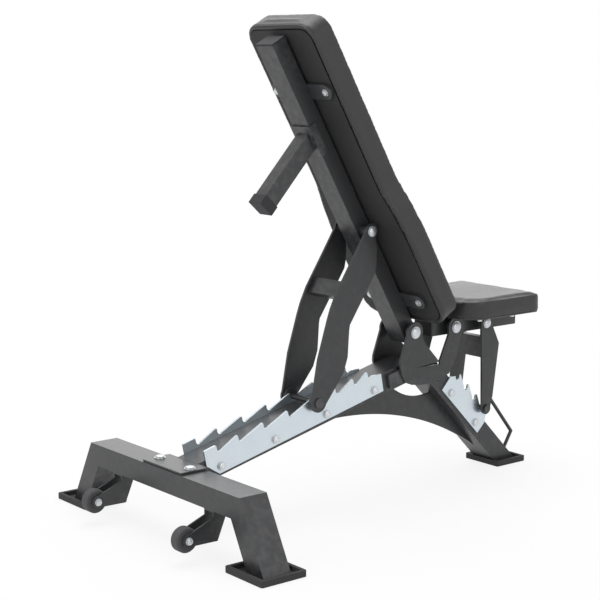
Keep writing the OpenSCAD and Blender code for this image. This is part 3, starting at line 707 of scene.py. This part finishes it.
@dataclass
class SteelWork:
    """Tubes, plates, bolts, feet and wheels: finishes and rounded edges."""

    rounding: dict[str, float] = field(default_factory=lambda: {
        "crossbeam": 0.0022, "spine_tube": 0.0022, "rear_leg": 0.0022, "back_tube": 0.0020, "seat_tube": 0.0020,
        "handle_tube": 0.0020, "arm_tube": 0.0010, "seat_arm_tube": 0.0010, "mount_plate": 0.0008,
        "gusset": 0.0006, "pivot_plate_right": 0.0008, "pivot_plate_left": 0.0008,
        "arm_plate_right": 0.0008, "arm_plate_left": 0.0008, "seat_arm_right": 0.0008, "seat_arm_left": 0.0008,
        "back_ladder_right": 0.0004, "back_ladder_left": 0.0004, "seat_ladder_right": 0.0004,
        "seat_ladder_left": 0.0004, "front_feet": 0.0010, "rear_foot": 0.0010, "handle_cap": 0.0014,
        "back_tube_cap": 0.0012, "seat_tube_caps": 0.0010, "back_brackets": 0.0010, "seat_brackets": 0.0010,
        "wheel_brackets": 0.0008})

    def build(self) -> None:
        """Dresses every CAD node by its material slot."""
        for part in frame["record"]["subparts"]:
            node = frame["nodes"][part["node"]]
            dress(node, Look[part["material_slot"]])
            soften(node, self.rounding.get(part["node"], 0.0))
            log.info("%s: %s", part["node"], part["material_slot"])


# ------------------------------------------------------------------- the studio


@dataclass
class Studio:
    """Floor, world, lamps and the camera."""

    floor_size: float = 60.0
    from_rear_foot: Vector = field(default_factory=lambda: Vector((-2.8261, -2.7182, 1.0498)))
    ahead: Vector = field(default_factory=lambda: Vector((0.6171, 0.7704, -0.1602)))
    lens: float = 92.5

    def build(self) -> None:
        """Sets up the whole studio."""
        self.floor()
        self.world()
        self.lamps()
        self.camera()

    def floor(self) -> None:
        """A flat floor under the feet."""
        bm = bmesh.new()
        bmesh.ops.create_grid(bm, x_segments=8, y_segments=8, size=self.floor_size / 2)
        mesh = bpy.data.meshes.new("studio_floor")
        bm.to_mesh(mesh)
        bm.free()
        floor = bpy.data.objects.new("studio_floor", mesh)
        floor.location = (0.0, 0.0, -0.0006)
        bpy.context.scene.collection.objects.link(floor)
        floor.data.materials.append(StudioFloor("studio_floor").material())

    def world(self) -> None:
        """White surroundings for the rays that show them, softer for the light."""
        world = bpy.data.worlds.new("studio")
        world.use_nodes = True
        bpy.context.scene.world = world
        n = NodeSheet(world.node_tree)
        path = n.tree.nodes.new("ShaderNodeLightPath")
        seen = (Sock(n, path.outputs["Is Camera Ray"]) + Sock(n, path.outputs["Is Transmission Ray"])).clip(0.0, 1.0)
        glossy = Sock(n, path.outputs["Is Glossy Ray"]).clip(0.0, 1.0)
        strength = (seen + (1 - seen) * (0.55 + glossy * 0.30)).clip(0.0, 1.0)
        n.add_output("ShaderNodeOutputWorld", n.add("ShaderNodeBackground", {}, {"Color": rgb(1.0, 1.0, 1.0), "Strength": strength}))

    def lamp(self, name: str, at: Vector, size: float, power: float) -> None:
        """A square soft lamp aimed at the bench's middle.

        Args:
            name: the lamp's name.
            at: its place, in metres.
            size: its side, in metres.
            power: its power, in watts.
        """
        light = bpy.data.lights.new(name, "AREA")
        light.size = size
        light.energy = power
        lamp = bpy.data.objects.new(name, light)
        lamp.location = at
        lamp.rotation_euler = (Vector((0.1, 0.0, 0.4)) - at).to_track_quat("-Z", "Y").to_euler()
        bpy.context.scene.collection.objects.link(lamp)

    def lamps(self) -> None:
        """Key from above, a broad fill from the front and a low one from the side."""
        self.lamp("lamp_top", Vector((0.3, 0.6, 3.4)), 2.6, 70.0)
        self.lamp("lamp_near_side", Vector((0.6, -3.2, 1.6)), 2.2, 18.0)
        self.lamp("lamp_head_end", Vector((-3.2, -0.4, 1.4)), 2.2, 26.0)
        self.lamp("lamp_far_side", Vector((2.6, 3.2, 1.7)), 3.0, 32.0)

    def camera(self) -> None:
        """The camera, placed from the rear foot's middle."""
        low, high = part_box("rear_foot")
        camera = bpy.data.objects.new("camera", bpy.data.cameras.new("camera"))
        camera.data.lens = self.lens
        camera.data.sensor_width = 36.0
        camera.location = self.from_rear_foot + Vector(((low.x + high.x) / 2, 0.0, 0.0))
        camera.rotation_euler = self.ahead.to_track_quat("-Z", "Y").to_euler()
        bpy.context.scene.collection.objects.link(camera)
        bpy.context.scene.camera = camera


def main() -> None:
    """Builds the bench's looks in order."""
    logging.basicConfig(level=logging.INFO, format="%(message)s")
    bpy.context.scene.view_settings.view_transform = "Standard"
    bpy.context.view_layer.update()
    Studio().build()
    SteelWork().build()
    Upholstery().build()


if __name__ == "__main__":
    main()
